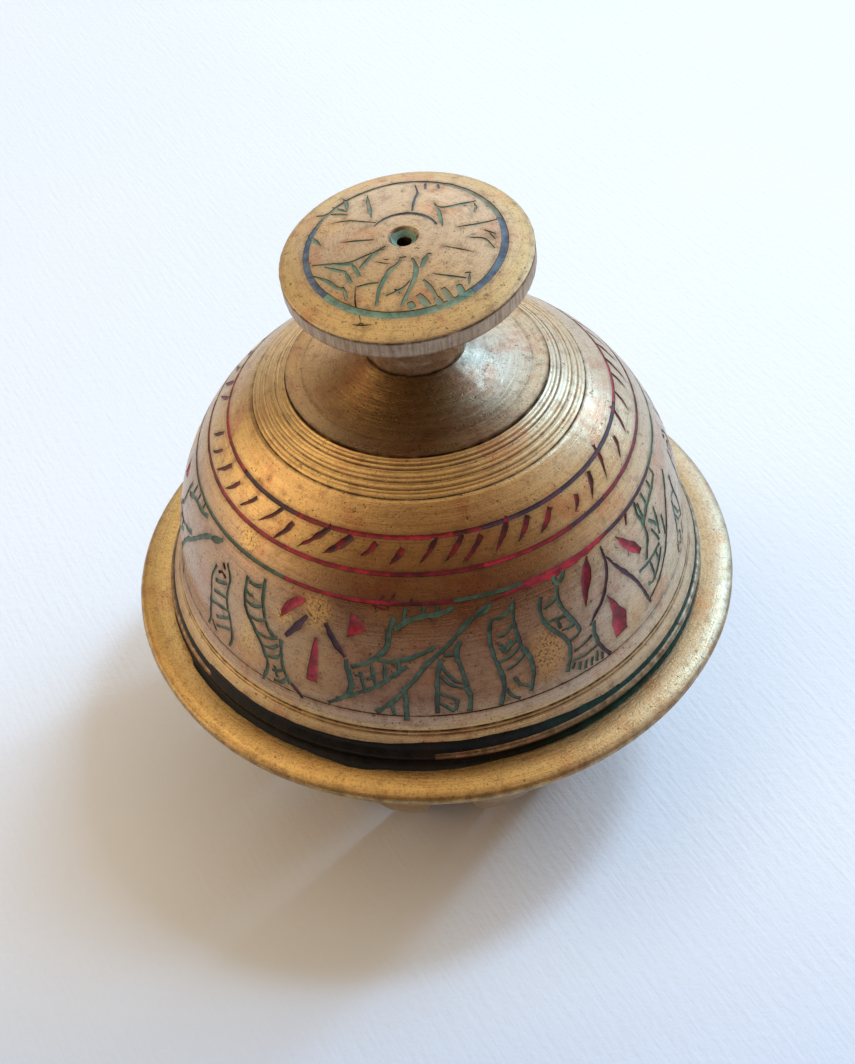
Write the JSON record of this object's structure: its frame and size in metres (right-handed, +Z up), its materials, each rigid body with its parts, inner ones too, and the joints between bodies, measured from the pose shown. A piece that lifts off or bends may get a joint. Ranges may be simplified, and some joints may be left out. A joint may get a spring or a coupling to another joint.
{
  "type": "hand bell",
  "caption": "Cast brass hand bell with a domed body, engraved and lac-filled decoration, flared rim, ring of claw feet, mushroom knob and hanging clapper.",
  "frame": {"origin": "on the surface the claws stand on, below the bell's axis", "axes": "+Z up along the bell's axis, -Y towards the front, +X to the right seen from the front"},
  "size_m": [0.076, 0.076, 0.077],
  "materials": {
    "brass_bell": "turned, aged, pinkish-tan brass",
    "brass_knob": "turned face, rough-filed edge and stem",
    "brass_claws": "cast and hand-filed, golden",
    "brass_bob": "turned, tarnished",
    "iron": "dark iron wire and hardware, worn",
    "lac_red": "worn crimson lac in engraved lines",
    "lac_green": "worn blue-green lac in engraved lines",
    "lac_dark": "near-black green lac"
  },
  "bodies": {
    "bell": {"bell_body": "brass_bell", "knob": "brass_knob", "claw_01": "brass_claws", "claw_02": "brass_claws", "claw_03": "brass_claws", "claw_04": "brass_claws", "claw_05": "brass_claws", "claw_06": "brass_claws", "claw_07": "brass_claws", "claw_08": "brass_claws", "claw_09": "brass_claws", "claw_10": "brass_claws", "claw_11": "brass_claws", "claw_12": "brass_claws", "claw_13": "brass_claws", "claw_14": "brass_claws", "eye_bolt": "iron", "crown_washer": "iron", "lock_nut": "iron", "lac_upper_line": "lac_red", "lac_lower_line": "lac_red", "lac_border_line": "lac_red", "lac_dark_band_upper": "lac_dark", "lac_dark_band_lower": "lac_dark", "lac_knob_ring": "lac_green", "lac_knob_dimple": "lac_green"},
    "link": {"clapper_link": "iron"},
    "clapper": {"clapper_rod": "iron", "clapper_bob": "brass_bob"}
  },
  "joints": [
    {"name": "link_swing", "type": "hinge", "parent": "bell", "child": "link", "pos_m": [0, 0, 0.0453], "axis": [1, 0, 0], "range_deg": [-50, 50]},
    {"name": "clapper_swing", "type": "hinge", "parent": "link", "child": "clapper", "pos_m": [0, 0, 0.0401], "axis": [0, 1, 0], "range_deg": [-20, 20]}
  ]
}
